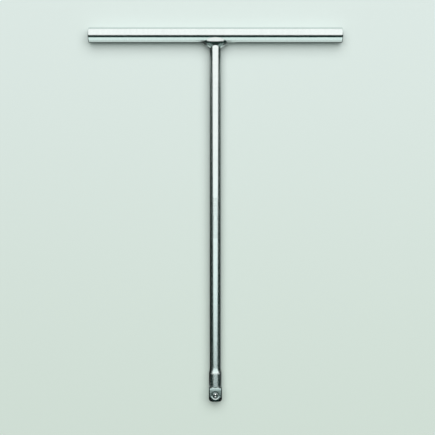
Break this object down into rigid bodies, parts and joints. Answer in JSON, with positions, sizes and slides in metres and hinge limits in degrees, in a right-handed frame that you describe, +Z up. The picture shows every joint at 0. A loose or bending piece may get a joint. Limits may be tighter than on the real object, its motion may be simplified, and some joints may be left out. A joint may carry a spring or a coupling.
{
  "type": "t-handle socket wrench",
  "caption": "Chrome-plated T-handle wrench: a round cross bar welded to a slim round shaft that ends in a male square drive with a sprung ball detent.",
  "frame": {"origin": "centre of the square drive's end face, on the shaft's axis", "axes": "-Y points out of the drive's end face, +Y runs up the shaft to the handle bar, X runs along the handle bar, +Z points up from the bench that the tool lies on and out through the detent ball"},
  "size_m": [0.184, 0.2705, 0.0114],
  "materials": {
    "satin_chrome": "bright chrome plate over fine grinding marks that run round the bar and shaft",
    "weld_chrome": "bright chrome plate over an unground, rippled weld",
    "bearing_steel": "polished hardened ball",
    "spring_steel": "drawn spring wire, oiled"
  },
  "bodies": {
    "wrench": {"handle_bar": "satin_chrome", "shaft": "satin_chrome", "weld_bead": "weld_chrome", "drive_end": "satin_chrome", "detent_spring": "spring_steel"},
    "ball": {"detent_ball": "bearing_steel"}
  },
  "joints": [
    {"name": "detent_press", "type": "slide", "parent": "wrench", "child": "ball", "axis": [0, 0, -1], "range_m": [0, 0.0012], "stiffness_N_per_m": 2000, "deforming": ["detent_spring"]}
  ]
}
